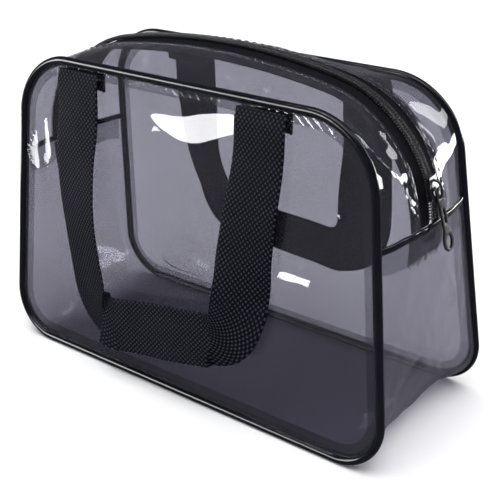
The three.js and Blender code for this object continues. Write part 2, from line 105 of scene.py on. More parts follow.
# ---- Curves in the X-Z plane ----
RUN_POINTS = 300


def line(a, b):
    return np.linspace(a, b, RUN_POINTS)


def arc(centre, radius, start, end):
    angle = np.linspace(start, end, RUN_POINTS)
    return np.stack([centre[0] + radius * np.cos(angle), centre[1] + radius * np.sin(angle)], axis=1)


def bezier(*points):
    t = np.linspace(0, 1, RUN_POINTS)[:, None]
    level = [np.asarray(p, float) for p in points]
    while len(level) > 1:
        level = [a + (b - a) * t for a, b in zip(level, level[1:])]
    return level[0]


def unit(v):
    return v / np.linalg.norm(v, axis=-1, keepdims=True)


class Path:
    """A curve through its runs, read by its share of length. A closed one goes on past its end."""

    def __init__(self, *runs, closed=False):
        points = np.concatenate(runs)
        far_enough = np.linalg.norm(np.diff(points, axis=0), axis=1) > 1e-6
        self.points = points[np.r_[True, far_enough]]
        self.closed = closed
        steps = np.linalg.norm(np.diff(self.points, axis=0), axis=1)
        self.length = steps.sum()
        self.share = np.r_[0, np.cumsum(steps)] / self.length

    def at(self, t):
        t = t % 1 if self.closed else np.clip(t, 0, 1)
        return np.stack([np.interp(t, self.share, self.points[:, i]) for i in (0, 1)], axis=-1)

    def direction(self, t):
        reach = 0.6 / self.length
        return unit(self.at(t + reach) - self.at(t - reach))


def lerp(a, b, t):
    return a + (b - a) * t


def smoothstep(x, low, high):
    t = np.clip((x - low) / (high - low), 0, 1)
    return t * t * (3 - 2 * t)


# ---- Shape of the bag ----
def half_width(z):
    return lerp(BASE_WIDTH, TOP_WIDTH, (z - BASE_Z) / PANEL_HEIGHT) / 2


def half_depth(z):
    return lerp(BASE_DEPTH, TOP_DEPTH, (z - BASE_Z) / PANEL_HEIGHT) / 2


def corner_centre(radius, z):
    return np.array([half_width(z) - radius / math.cos(SIDE_LEAN), z])


TOP_CORNER = corner_centre(TOP_CORNER_R, TOP_Z - TOP_CORNER_R)
BASE_CORNER = corner_centre(BASE_CORNER_R, BASE_Z + BASE_CORNER_R)
SHOULDER = np.array([
    (CROWN_R - SHOULDER_R) * math.sin(CROWN_HALF_ANGLE),
    CROWN_Z - CROWN_R + (CROWN_R - SHOULDER_R) * math.cos(CROWN_HALF_ANGLE),
])


def half_outline(corner, radius, up, z):
    """The right half of a panel's outline, from the middle of its top or base edge to height z."""
    edge_z = TOP_Z if up == 1 else BASE_Z
    turned = arc(corner, radius, up * math.pi / 2, SIDE_LEAN)
    return Path(line((0, edge_z), (corner[0], edge_z)), turned, line(turned[-1], (half_width(z), z)))


def crown_line(z):
    """The right half of the zip line, from the top of the crown down to height z."""
    turn = math.pi / 2 - CROWN_HALF_ANGLE
    end = math.asin((z - SHOULDER[1]) / SHOULDER_R)
    crown = arc((0, CROWN_Z - CROWN_R), CROWN_R, math.pi / 2, turn)
    return Path(crown, arc(SHOULDER, SHOULDER_R, turn, end))


def base_middle_line(z):
    """The right half of the base gusset's middle line: flat on the floor, drawn in at the corner."""
    flat = SHEET / 2
    return Path(
        line((0, flat), (FLAT_HALF, flat)),
        bezier((FLAT_HALF, flat), (TUCK[0] - 4, flat), TUCK, SIDE_REACH),
        line(SIDE_REACH, (SHOULDER[0] + SHOULDER_R, z)),
    )


def panel_side():
    """The right side of a panel's outline, from the base edge's corner to the top edge's corner."""
    low = arc(BASE_CORNER, BASE_CORNER_R, -math.pi / 2, SIDE_LEAN)
    high = arc(TOP_CORNER, TOP_CORNER_R, SIDE_LEAN, math.pi / 2)
    return Path(low, line(low[-1], high[0]), high)


def panel_edge():
    """The whole outline of a panel, round from the middle of the base edge by the right."""
    side = panel_side().points
    right = np.concatenate([line((0, BASE_Z), side[0]), side, line(side[-1], (0, TOP_Z))])
    left = right[::-1] * (-1, 1)
    return Path(right, left, closed=True)


def station(path, u, up):
    """Points and outward normals at u, from -1 (left end) through 0 to 1. up is -1 under the base."""
    t = np.abs(u)
    mirror = np.where(u < 0, -1, 1)
    point = path.at(t)
    along = path.direction(t)
    point = np.stack([point[..., 0] * mirror, point[..., 1]], axis=-1)
    normal = np.stack([-along[..., 1] * up * mirror, along[..., 0] * up], axis=-1)
    return point, normal


class Gusset:
    """A gusset's surface: an edge line at each panel and a middle line between them."""

    def __init__(self, edge, middle, up, flat_share):
        self.edge, self.middle, self.up, self.flat_share = edge, middle, up, flat_share
        self.half_length = (edge.length + middle.length) / 2

    def reach(self, u):
        point, _ = station(self.edge, u, self.up)
        return half_depth(point[..., 1]) - BEAD_R - GAP

    def at(self, u, y, offset):
        u, y, offset = np.broadcast_arrays(u, y, offset)
        edge, edge_out = station(self.edge, u, self.up)
        middle, middle_out = station(self.middle, u, self.up)
        flat = self.flat_share(np.abs(u))
        v = np.clip((np.abs(y) / self.reach(u) - flat) / (1 - flat), 0, 1.02)
        w = (1 - v * v)[..., None]
        p = lerp(edge, middle, w) + unit(lerp(edge_out, middle_out, w)) * offset[..., None]
        return np.stack([p[..., 0], y, p[..., 1]], axis=-1)


zip_gusset = Gusset(
    half_outline(TOP_CORNER, TOP_CORNER_R, 1, ZIP_START), crown_line(ZIP_START), 1, lambda u: 0 * u)
BASE_FLAT = 0.78
ZIP_HALF = zip_gusset.middle.length
base_gusset = Gusset(
    half_outline(BASE_CORNER, BASE_CORNER_R, -1, BASE_END), base_middle_line(BASE_END), -1,
    lambda u: BASE_FLAT * (1 - smoothstep(u, 0.4, 0.62)))


# ---- Waves and creases ----
def ripple(x, y, wavelength, seed, waves=9):
    """Smooth uneven waves of that wavelength, mostly from -1 to 1."""
    rng = np.random.default_rng(seed)
    total = 0
    for _ in range(waves):
        turn, phase = rng.uniform(0, 2 * math.pi, 2)
        k = 2 * math.pi / (wavelength * rng.uniform(0.75, 1.5))
        total = total + np.sin(k * (x * math.cos(turn) + y * math.sin(turn)) + phase)
    return total / math.sqrt(waves)


def distance_to(x, y, points):
    """How far each point is from a line through the given points, and its share along that line."""
    best = np.full(np.shape(x), np.inf)
    share = np.zeros(np.shape(x))
    count = len(points) - 1
    for i, (a, b) in enumerate(zip(points, points[1:])):
        ax, ay, dx, dy = a[0], a[1], b[0] - a[0], b[1] - a[1]
        t = np.clip(((x - ax) * dx + (y - ay) * dy) / (dx * dx + dy * dy), 0, 1)
        d = np.hypot(x - ax - t * dx, y - ay - t * dy)
        share = np.where(d < best, (i + t) / count, share)
        best = np.minimum(best, d)
    return best, share


def crease(x, y, points, width, height):
    """A fold that stands up along the given line and dies away at both its ends."""
    d, share = distance_to(x, y, points)
    return height * np.exp(-((d / width) ** 2)) * np.sin(np.pi * np.clip(share, 0.02, 0.98)) ** 0.6


# ---- Meshes ----
SHARP = math.radians(35)


def new_object(name, data):
    obj = bpy.data.objects.new(name, data)
    bpy.context.scene.collection.objects.link(obj)
    return obj


def make_object(name, points, faces, flat=None):
    """A mesh object from points in millimetres. flat gives each point its place on the unrolled piece."""
    mesh = bpy.data.meshes.new(name)
    mesh.from_pydata((np.asarray(points, float).reshape(-1, 3) * MM).tolist(), [], faces)
    mesh.polygons.foreach_set("use_smooth", np.ones(len(mesh.polygons), bool))
    mesh.set_sharp_from_angle(angle=SHARP)
    if flat is not None:
        attribute = mesh.attributes.new("flat", "FLOAT_VECTOR", "POINT")
        attribute.data.foreach_set("vector", np.asarray(flat, np.float32).ravel())
    return new_object(name, mesh)


def face_out(obj, merge=False):
    """Turns every face of a closed mesh outwards. merge first joins points that lie on each other."""
    work = bmesh.new()
    work.from_mesh(obj.data)
    if merge:
        bmesh.ops.remove_doubles(work, verts=work.verts, dist=1e-6)
    bmesh.ops.recalc_face_normals(work, faces=work.faces)
    work.to_mesh(obj.data)
    work.free()
    return obj


def grid_faces(rows, columns, start=0, wrap_rows=False, wrap_columns=False):
    """Quads over a grid of points numbered row by row from start."""
    i = np.arange(rows if wrap_rows else rows - 1)[:, None]
    j = np.arange(columns if wrap_columns else columns - 1)[None, :]
    k, m = (i + 1) % rows, (j + 1) % columns
    corners = [i * columns + j, i * columns + m, k * columns + m, k * columns + j]
    quads = np.stack(np.broadcast_arrays(*corners), axis=-1)
    return (quads.reshape(-1, 4) + start).tolist()


def slab(name, outer, inner, flat=None):
    """A closed rimmed sheet between two grids of points. flat is their places across and along it."""
    rows, columns = outer.shape[:2]
    count = rows * columns
    faces = grid_faces(rows, columns)
    faces += [f[::-1] for f in grid_faces(rows, columns, count)]
    index = np.arange(count).reshape(rows, columns)
    edge = np.r_[index[0, :-1], index[:-1, -1], index[-1, :0:-1], index[:0:-1, 0]]
    faces += [[int(b), int(a), int(a) + count, int(b) + count] for a, b in zip(edge, np.roll(edge, -1))]
    points = np.concatenate([outer.reshape(-1, 3), inner.reshape(-1, 3)])
    if flat is not None:
        flat = np.stack(np.broadcast_arrays(*flat, 0), axis=-1).reshape(-1, 3)
        flat = np.concatenate([flat, flat])
    return face_out(make_object(name, points, faces, flat))


def loft(name, rings, loop=False):
    """A closed body through rings of points; loop joins the last ring to the first."""
    rows, columns = rings.shape[:2]
    faces = grid_faces(rows, columns, wrap_rows=loop, wrap_columns=True)
    if not loop:
        faces.append(list(range(columns)))
        faces.append(list(range((rows - 1) * columns, rows * columns)))
    return face_out(make_object(name, rings, faces))


def tube_rings(points, radius, sides, side_on):
    """Rings of a tube along points. side_on is a direction that its rings are lined up with."""
    along = unit(np.gradient(points, axis=0))
    first = unit(np.cross(along, side_on))
    second = np.cross(along, first)
    angle = np.arange(sides) * 2 * math.pi / sides
    ring = np.cos(angle)[None, :, None] * first[:, None] + np.sin(angle)[None, :, None] * second[:, None]
    return points[:, None] + ring * np.broadcast_to(radius, len(points))[:, None, None]


def join(name, objects):
    """One object from several, which go."""
    work = bmesh.new()
    for obj in objects:
        work.from_mesh(obj.data)
    mesh = bpy.data.meshes.new(name)
    work.to_mesh(mesh)
    work.free()
    mesh.set_sharp_from_angle(angle=SHARP)
    for obj in objects:
        bpy.data.objects.remove(obj)
    return new_object(name, mesh)


# ---- Materials ----
class Nodes:
    """The node tree of a material or a world, with short ways to add and link nodes."""

    def __init__(self, owner):
        self.owner = owner
        owner.use_nodes = True
        self.tree = owner.node_tree
        self.tree.nodes.clear()

    def add(self, kind, values=(), **settings):
        node = self.tree.nodes.new(kind)
        for key, value in settings.items():
            setattr(node, key, value)
        for socket, value in dict(values).items():
            if isinstance(value, bpy.types.NodeSocket):
                self.tree.links.new(value, node.inputs[socket])
            else:
                node.inputs[socket].default_value = value
        return node

    def math(self, operation, a, b=0.0, c=0.0):
        return self.add("ShaderNodeMath", {0: a, 1: b, 2: c}, operation=operation).outputs[0]

    def place(self):
        return self.add("ShaderNodeTexCoord").outputs["Object"]

    def flat(self):
        return self.add("ShaderNodeAttribute", attribute_name="flat").outputs["Vector"]

    def stretched(self, vector, scale):
        node = self.add("ShaderNodeMapping", {"Vector": vector, "Scale": scale})
        return node.outputs[0]

    def noise(self, vector, scale, detail=3.0):
        values = {"Vector": vector, "Scale": scale, "Detail": detail, "Roughness": 0.55}
        return self.add("ShaderNodeTexNoise", values).outputs[0]

    def between(self, value, low, high):
        """value, from 0 to 1, carried over to low to high."""
        return self.math("MULTIPLY_ADD", value, high - low, low)

    def bump(self, height, distance, strength=1.0):
        values = {"Height": height, "Distance": distance, "Strength": strength}
        return self.add("ShaderNodeBump", values).outputs[0]

    def colour(self, factor, low, high):
        ramp = self.add("ShaderNodeValToRGB", {0: factor})
        ramp.color_ramp.elements[0].color = (*low, 1)
        ramp.color_ramp.elements[1].color = (*high, 1)
        return ramp.outputs[0]

    def mix(self, share, first, second):
        return self.add("ShaderNodeMixShader", {0: share, 1: first, 2: second}).outputs[0]

    def finish(self, shader):
        self.add("ShaderNodeOutputMaterial", {0: shader})
        return self.owner

    def principled(self, values):
        return self.finish(self.add("ShaderNodeBsdfPrincipled", values).outputs[0])


def clear_pvc(name, tint, haze, haze_share):
    """See-through smoke PVC: tinted where light passes, a faint milky haze, and a wet gloss on top."""
    n = Nodes(bpy.data.materials.new(name))
    place = n.place()
    normal = n.bump(n.noise(place, 45, 1.5), 0.0006, 0.4)
    smudges = n.noise(place, 24, 4)
    clouds = n.noise(place, 13, 1.5)
    passing = n.add("ShaderNodeBsdfTransparent", {
        0: n.colour(clouds, [0.93 * c for c in tint], [1.06 * c for c in tint]),
    }).outputs[0]
    milky = n.add("ShaderNodeBsdfPrincipled", {
        "Base Color": n.colour(smudges, [0.8 * c for c in haze], [1.15 * c for c in haze]),
        "Roughness": 0.5, "Specular IOR Level": 0.0, "Normal": normal,
    }).outputs[0]
    body = n.mix(haze_share, passing, milky)
    gloss = n.add("ShaderNodeBsdfGlossy", {
        "Color": (1, 1, 1, 1), "Roughness": n.between(smudges, 0.015, 0.06), "Normal": normal,
    }).outputs[0]
    facing = n.add("ShaderNodeLayerWeight", {"Normal": normal}).outputs["Facing"]
    share = n.math("MULTIPLY_ADD", n.math("POWER", facing, 5.0), 0.55, 0.014)
    return n.finish(n.mix(share, body, gloss))


def black_pvc():
    """Glossy black PVC with slight waviness and handling marks."""
    n = Nodes(bpy.data.materials.new("black_pvc"))
    place = n.place()
    marks = n.noise(place, 160, 5)
    return n.principled({
        "Base Color": n.colour(marks, (0.002, 0.002, 0.005), (0.007, 0.007, 0.012)),
        "Roughness": n.between(marks, 0.08, 0.2), "Specular IOR Level": 0.1,
        "Normal": n.bump(n.noise(place, 260, 3), 0.0003, 0.35),
    })


def woven(name, along, across, dark, light, roughness):
    """Cloth of black yarn: floats of that pitch along and across, with a painted highlight where a yarn
    comes up.
    """
    n = Nodes(bpy.data.materials.new(name))
    flat = n.flat()
    split = n.add("ShaderNodeSeparateXYZ", {0: flat})
    warp = n.math("SINE", n.math("MULTIPLY", split.outputs[0], 2 * math.pi / across))
    weft = n.math("SINE", n.math("MULTIPLY", split.outputs[1], 2 * math.pi / along))
    cross = n.math("MULTIPLY", warp, weft)
    float_up = n.math("SMOOTH_MAX", cross, 0.0, 0.2)
    strands = n.noise(n.stretched(flat, (14, 1.2, 1)), 1.0, 2)
    height = n.math("MULTIPLY_ADD", strands, 0.35, float_up)
    glint_variation = n.noise(n.place(), 70, 4)
    # The floats' lighter tone is a painted highlight on the yarn, made stronger or weaker at random.
    lit = n.math("MULTIPLY", float_up, n.between(glint_variation, 0.5, 1.2))
    return n.principled({
        "Base Color": n.colour(lit, dark, light),
        "Roughness": n.between(strands, roughness - 0.12, roughness + 0.1),
        "Normal": n.bump(height, 0.00035, 0.8), "Specular IOR Level": 0.015,
    })


def plain_black(name, tone, low, high, scale, metallic=0.0, specular=0.25):
    """Thread, nylon or coated metal: a dark tone whose gloss is uneven at that scale."""
    n = Nodes(bpy.data.materials.new(name))
    marks = n.noise(n.place(), scale, 4)
    return n.principled({
        "Base Color": n.colour(marks, [0.6 * c for c in tone], [1.5 * c for c in tone]),
        "Roughness": n.between(marks, low, high), "Metallic": metallic, "Specular IOR Level": specular,
        "Normal": n.bump(marks, 0.00008, 0.5),
    })


CLEAR = clear_pvc("clear_pvc", (0.708, 0.704, 0.737), (0.19, 0.18, 0.225), 0.055)
BASE_CLEAR = clear_pvc("base_pvc", (0.68, 0.673, 0.71), (0.26, 0.245, 0.32), 0.11)
ALLOWANCE = clear_pvc("doubled_pvc", (0.80, 0.80, 0.82), (0.14, 0.14, 0.16), 0.05)
BLACK = black_pvc()
# The second tone of the webbing and the zip tape is their painted yarn highlight.
WEBBING_CLOTH = woven("webbing", 3.4, 2.7, (0.002, 0.002, 0.005), (0.046, 0.047, 0.066), 0.6)
TAPE_CLOTH = woven("zip_tape", 0.9, 1.1, (0.003, 0.003, 0.005), (0.03, 0.03, 0.036), 0.7)
NYLON = plain_black("zip_coil", (0.008, 0.008, 0.010), 0.25, 0.45, 800)
THREAD = plain_black("thread", (0.006, 0.006, 0.008), 0.4, 0.65, 1500)
# The stitching's grey, lighter than the black thread, is painted highlight for the glints along the hem's
# stitches.
STITCHING = plain_black("stitching", (0.05, 0.05, 0.056), 0.15, 0.3, 900, specular=0.6)
METAL = plain_black("black_metal", (0.03, 0.03, 0.033), 0.2, 0.42, 500, metallic=0.8)


def finish_piece(obj, material, replaces=()):
    obj.data.materials.append(material)
    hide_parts(*replaces)
    return obj


def cut_size(width, along):
    """Flat size and area, in metres, of a sheet with these widths at these distances along it."""
    area = np.sum((width[1:] + width[:-1]) / 2 * np.diff(along))
    flat = (float(width.max()) * MM, float(np.ptp(along)) * MM)
    return {"flat": flat, "area": float(area) * MM ** 2}


def with_half(obj):
    """Bakes the piece's placing into its mesh and gives it back."""
    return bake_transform(obj)


SIDES = {"front": -1, "back": 1}


# ---- Panels ----
PANEL_ROWS = 128
PANEL_COLUMNS = 150
PANEL_TUCK = 1.6  # the sheet's edge lies this far inside the middle of the bead
STITCH_PITCH = 5.5


def panel_border(x, z):
    """How far inside the panel's outline a point is, roughly."""
    side = half_width(z) - np.abs(x)
    corner = TOP_CORNER_R - np.hypot(np.abs(x) - TOP_CORNER[0], z - TOP_CORNER[1])
    in_corner = (np.abs(x) > TOP_CORNER[0]) & (z > TOP_CORNER[1])
    inside = np.minimum(np.minimum(side, z - BASE_Z), TOP_Z - z)
    return np.where(in_corner, corner, inside)


# Creases of the front panel: the line each follows, its half width and its height.
FRONT_CREASES = [
    ([(58, 82), (72, 95), (91, 95), (99, 84)], 2.4, 1.7),
    ([(76, 95), (78, 84), (72, 72)], 2.0, 1.4),
    ([(104, 138), (114, 129), (124, 122)], 2.4, 2.4),
    ([(112, 20), (120, 27), (128, 38)], 4.0, 1.6),
    ([(-106, 166), (-116, 130), (-113, 96), (-118, 60)], 3.4, 1.5),
    ([(-98, 168), (-104, 148), (-101, 120)], 2.2, 1.0),
    ([(-90, 20), (-40, 13), (20, 15)], 5.0, 1.2),
]


def front_shape(x, z):
    """How far the front panel stands out of its plane."""
    out = 0.5 * ripple(x, z, 95, 3) + 0.14 * ripple(x, z, 33, 4) + 0.6
    for points, width, height in FRONT_CREASES:
        out += crease(x, z, points, width, height)
    return out


def pleat(x, z, start, end, top, low, slope, release):
    """A facet between x start and end that stands out from its top line down to its low line."""
    share = (x - start) / (end - start)
    drop = np.interp(share, np.linspace(0, 1, len(top)), top)
    foot = np.interp(share, np.linspace(0, 1, len(low)), low)
    rise = slope * (drop - foot)
    lean = rise * np.clip((drop - z) / (drop - foot), 0, 1)
    ends = smoothstep(share, 0, 0.2) * (1 - smoothstep(share, 0.94, 1))
    return (lean - rise * smoothstep(foot - z, 0, release)) * ends


def back_shape(x, z):
    """How far the back panel stands out of its plane."""
    out = 0.8 * ripple(x, z, 90, 11) + 0.18 * ripple(x, z, 30, 12) - 0.6
    out -= crease(x, z, [(96, 168), (104, 142), (110, 112)], 4.0, 1.6)
    return out


def front_fold(x, z):
    """The hard fold close under the front panel's top edge, between its two strands."""
    top = (167.2, 167.4, 168, 172.5, 175.5, 176.5)
    low = (165.6, 161, 157.2, 158.8, 164.5, 170)
    return pleat(x, z, -24, 46, top, low, 0.27, 16)


def back_fold(x, z):
    """The fold at the foot of the back panel, leaning into the bag."""
    return -pleat(x, z, -110, -58, (29, 33, 31, 26), (20, 17, 16.5, 19), 0.36, 5)


PANEL_SHAPES = {"front": front_shape, "back": back_shape}
PANEL_FOLDS = {"front": front_fold, "back": back_fold}


def make_panel(side):
    edge = panel_side()
    t = np.linspace(0, 1, PANEL_ROWS)
    outline, along = edge.at(t), edge.direction(t)
    inward = np.stack([-along[:, 1], along[:, 0]], axis=1)
    inward[0], inward[-1] = (0, 1), (0, -1)
    row = outline + inward * PANEL_TUCK
    x = row[:, :1] * np.linspace(-1, 1, PANEL_COLUMNS)
    z = np.broadcast_to(row[:, 1:], x.shape)
    border = panel_border(x, z)
    out = PANEL_SHAPES[side](x, z) * smoothstep(border, 4, 34) + PANEL_FOLDS[side](x, z)
    pucker = 0.13 * np.sin((x + z) * 2 * math.pi / STITCH_PITCH)
    out = out + pucker * smoothstep(border, 2, 4) * (1 - smoothstep(border, 6, 12))
    layers = [
        np.stack([x, SIDES[side] * (half_depth(z) + out + side_out * SHEET / 2), z], axis=-1)
        for side_out in (1, -1)
    ]
    panel = slab(side + "_panel", *layers, (x, z))
    finish_piece(panel, CLEAR, [side + "_panel_lower", side + "_panel_upper"])
    return with_half(panel), cut_size(2 * row[:, 0], row[:, 1])


def sweep_edge(side, section, count, wave=0.0):
    """Rings of a band all round a panel. section gives each point as outwards and into the bag."""
    edge = panel_edge()
    t = np.arange(count) / count
    point, along = edge.at(t), edge.direction(t)
    out_x, out_z = along[:, 1], -along[:, 0]
    rings = []
    for i, (out, into) in enumerate(section):
        into = into + wave * ripple(point[:, 0], point[:, 1], 26, 40 + i // 4)
        z = point[:, 1] + out_z * out
        x = point[:, 0] + out_x * out
        rings.append(np.stack([x, SIDES[side] * (half_depth(z) - into), z], axis=-1))
    return np.stack(rings, axis=1)


FLANGE_INTO = (0.6, 1.1)  # the piping's flange lies behind the panel
FLANGE_TIP = 3.7
ALLOWANCE_INTO = (1.2, 1.5)
ALLOWANCE_TIP = 8.5
EDGE_STATIONS = 460


def make_piping(side):
    low, high = FLANGE_INTO
    start = math.pi - math.asin(low / BEAD_R)
    end = 3 * math.pi - math.asin(high / BEAD_R)
    bead = [(BEAD_R * math.cos(a), BEAD_R * math.sin(a)) for a in np.linspace(start, end, 18)]
    section = [(-FLANGE_TIP, low), (-3.1, low), *bead, (-3.1, high), (-FLANGE_TIP, high)]
    piping = loft(side + "_piping", sweep_edge(side, section, EDGE_STATIONS), loop=True)
    finish_piece(piping, BLACK, [side + "_piping_lower", side + "_piping_upper"])
    return with_half(piping)


def make_allowance(side):
    """The clear sheets' doubled seam allowance, inside the bag round a panel."""
    low, high = ALLOWANCE_INTO
    outs = np.linspace(-ALLOWANCE_TIP, -2.6, 5)
    section = [(out, low) for out in outs] + [(out, high) for out in outs[::-1]]
    band = loft(side + "_panel_allowance", sweep_edge(side, section, EDGE_STATIONS, 0.05), loop=True)
    finish_piece(band, ALLOWANCE)
    return with_half(band)


# ---- Zip gusset ----
ZIP_U = np.linspace(-1, 1, 300)
HEM_WIDTH = 6.5
HEM_LOW = -1.0  # the folded-under layer's underside
HEM_FOLD_R = 0.65
STRIP_HALF = 173  # about half of a strip's length, which sets the scale of its waves
STITCH_Y = 13.5  # the row of stitches, from the zip line
TAPE_LOW = -0.85  # the middle of the tape under the coil


def strip_section(reach):
    """One strip's section as y and offset, round from the piping to the hem and back underneath."""
    half = SHEET / 2
    spans = np.linspace(0, 1, 26)
    upper = [(lerp(reach + GAP, STRIP_EDGE, s), half) for s in spans]
    fold = [
        (STRIP_EDGE - HEM_FOLD_R * math.sin(a), -0.35 + HEM_FOLD_R * math.cos(a))
        for a in np.linspace(0.35, 2.8, 6)
    ]
    under = [(STRIP_EDGE + HEM_WIDTH * s, HEM_LOW) for s in (0.05, 0.5, 1)]
    inner = [(STRIP_EDGE + HEM_WIDTH * s, HEM_LOW + SHEET) for s in (1, 0.5, 0.08)]
    lower = [(lerp(reach + GAP, STRIP_EDGE + 0.4, s), -half) for s in spans[::-1]]
    return np.array(upper + fold + under + inner + lower)


def strip_wrinkles(side, u, y):
    """Waves and creases of a zip gusset strip, dying away at the hem and the piping."""
    along = u * STRIP_HALF
    seed = 21 if side == "front" else 31
    free = smoothstep(y, STRIP_EDGE + 1, STRIP_EDGE + 7) * (1 - smoothstep(y, 30, 36))
    long_fold = crease(along, y, [(106, 38), (126, 34), (145, 25), (156, 19.5), (170, 15)], 2.4, 2.1)
    long_fold = long_fold * (1 + 0.3 * ripple(along, y, 9, seed + 2))
    long_fold = long_fold * smoothstep(y, STRIP_EDGE + 1, STRIP_EDGE + 3)
    waves = 0.36 * ripple(along, y, 42, seed) + 0.25 * ripple(along, y, 17, seed + 1)
    shoulders = smoothstep(np.abs(u), 0.45, 0.7)
    pleats = 0.55 * np.sin(along / 5.2 + 1.5 * np.sin(y / 7)) * shoulders
    return free * (waves + pleats) + (long_fold if side == "front" else 0)


def make_strip(side):
    rings = []
    for u in ZIP_U:
        y, offset = strip_section(float(zip_gusset.reach(u))).T
        out = strip_wrinkles(side, u, y)
        pulled = 1 + np.sin(u * STRIP_HALF * 2 * math.pi / STITCH_PITCH)
        stitched = np.exp(-(((y - STITCH_Y) / 1.2) ** 2)) * -0.12 * pulled
        rings.append(zip_gusset.at(np.full(len(y), u), SIDES[side] * y, offset + out + stitched))
    strip = loft(side + "_zip_strip_sheet", np.array(rings))
    finish_piece(strip, CLEAR, [side + "_zip_strip"])
    width = zip_gusset.reach(ZIP_U) + GAP - STRIP_EDGE + HEM_WIDTH
    return with_half(strip), cut_size(width, ZIP_U * zip_gusset.half_length)


def tape_offset(y):
    """The middle of the tape: under the hem at its edge, and up beneath the coil."""
    return lerp(TAPE_LOW, HEM_LOW - 0.35, smoothstep(np.abs(y), 5, 10.5))


def parting(u):
    """How far each side of the zip stands from the zip line; below the slider it is apart."""
    slider = crown_share(SLIDER_ANGLE)
    return lerp(0, COIL_PARTED, smoothstep(u, slider - 0.02, slider + 0.013))


def crown_share(angle):
    """The share of the half zip line between its crown and that angle on the right shoulder."""
    down = SHOULDER_R * (math.pi / 2 - CROWN_HALF_ANGLE - angle)
    return (CROWN_R * CROWN_HALF_ANGLE + down) / ZIP_HALF


def make_tape(side):
    v = np.linspace(0, 1, 14)
    u = ZIP_U[:, None]
    y = lerp(parting(u) + GAP, TAPE_EDGE, v)
    layers = [
        zip_gusset.at(u, SIDES[side] * y, tape_offset(y) + s * TAPE / 2) for s in (1, -1)
    ]
    tape = slab(side + "_tape", *layers, (y, u * ZIP_HALF))
    finish_piece(tape, TAPE_CLOTH, [side + "_zip_tape"])
    return with_half(tape)


COIL_PITCH = 1.5
COIL_WIRE = 0.36
COIL_STEPS = 12
LOOP_REACH = 0.5  # how far a loop passes the zip line to lock with the other side
COIL_MIDDLE = 0.8


def make_coil(side):
    """A nylon coil sewn to one tape; the two coils' loops lock with half a pitch between them."""
    turns = int(2 * (ZIP_HALF - 1.5) / COIL_PITCH)
    phase = 0.5 if side == "back" else 0.0
    turn = np.linspace(0, turns, turns * COIL_STEPS + 1)
    u = ((turn + phase) * COIL_PITCH / ZIP_HALF) - (turns + 1) * COIL_PITCH / (2 * ZIP_HALF)
    angle = turn * 2 * math.pi
    half = (COIL_WIDTH + LOOP_REACH) / 2
    y = parting(u) + half - LOOP_REACH + (half - COIL_WIRE) * np.cos(angle)
    offset = COIL_MIDDLE + (COIL_HEIGHT / 2 - COIL_WIRE) * np.sin(angle)
    points = zip_gusset.at(u, SIDES[side] * y, offset)
    ahead = zip_gusset.at(u + 0.002, SIDES[side] * y, offset)
    coil = loft(side + "_coil", tube_rings(points, COIL_WIRE, 6, ahead - points))
    finish_piece(coil, NYLON, [side + "_zip_coil"])
    return with_half(coil)


def make_coil_thread(side):
    """The lock-stitched thread that runs over a coil and holds it to its tape."""
    steps = int(2 * (ZIP_HALF - 2) / COIL_PITCH) * 6
    s = np.linspace(-ZIP_HALF + 1, ZIP_HALF - 1, steps)
    u = s / ZIP_HALF
    top = COIL_MIDDLE + COIL_HEIGHT / 2
    wave = np.cos(s * 2 * math.pi / COIL_PITCH)
    rows = []
    for name, inset in (("a", 1.25), ("b", 2.25)):
        y = parting(u) + inset + 0.12 * np.sin(s * math.pi / COIL_PITCH)
        points = zip_gusset.at(u, SIDES[side] * y, top + 0.08 + 0.12 * wave)
        ahead = zip_gusset.at(u, SIDES[side] * y, top + 3)
        rows.append(loft(side + "_thread_" + name, tube_rings(points, 0.17, 5, ahead - points)))
    thread = join(side + "_coil_thread", rows)
    finish_piece(thread, THREAD)
    return with_half(thread)


def dashes(name, ends, radius):
    """Stitches: one rounded dash of thread for each pair of ends, in one object."""
    bulge = np.array([0.02, 0.7, 1, 1, 0.7, 0.02])
    share = np.array([0, 0.12, 0.35, 0.65, 0.88, 1])[:, None]
    sides = 6
    points, faces = [], []
    for a, b, up in ends:
        middle = lerp(a, b, share) + up * (np.sin(share * math.pi) * radius * 0.5)
        rings = tube_rings(middle, radius * bulge, sides, up)
        start = len(points) * len(share) * sides
        faces += grid_faces(len(share), sides, start, wrap_columns=True)
        faces.append([start + i for i in range(sides)])
        faces.append([start + (len(share) - 1) * sides + i for i in range(sides)])
        points.append(rings.reshape(-1, 3))
    return face_out(make_object(name, np.concatenate(points), faces))


def make_topstitch(side):
    """The row of stitches through a strip's hem and the tape."""
    count = int(2 * (ZIP_HALF - 4) / STITCH_PITCH)
    start = -count * STITCH_PITCH / 2
    ends = []
    for i in range(count):
        u = (start + i * STITCH_PITCH + np.array([0.9, 4.5])) / ZIP_HALF
        y = SIDES[side] * np.full(2, STITCH_Y)
        a, b = zip_gusset.at(u, y, 0.33)
        up = unit(zip_gusset.at(u[:1], y[:1], 2.0)[0] - a)
        ends.append((a, b, up))
    stitches = dashes(side + "_topstitch", ends, 0.34)
    finish_piece(stitches, STITCHING)
    return with_half(stitches)


# ---- Base gusset ----
# Creases of the side walls, by distance along the gusset and across it. A negative height stands inwards.
WALL_CREASES = [
    ([(206, -21), (190, -3), (176, 6)], 2.0, -1.3),
    ([(210, -36), (196, -28), (184, -14), (172, 2)], 1.6, 1.6),
    ([(214, 18), (200, 26), (186, 24)], 1.7, 1.0),
    ([(140, 34), (156, 20), (168, 2), (160, -20)], 3.0, -2.4),
    ([(-150, 30), (-165, 0), (-150, -28)], 3.5, 2.0),
]


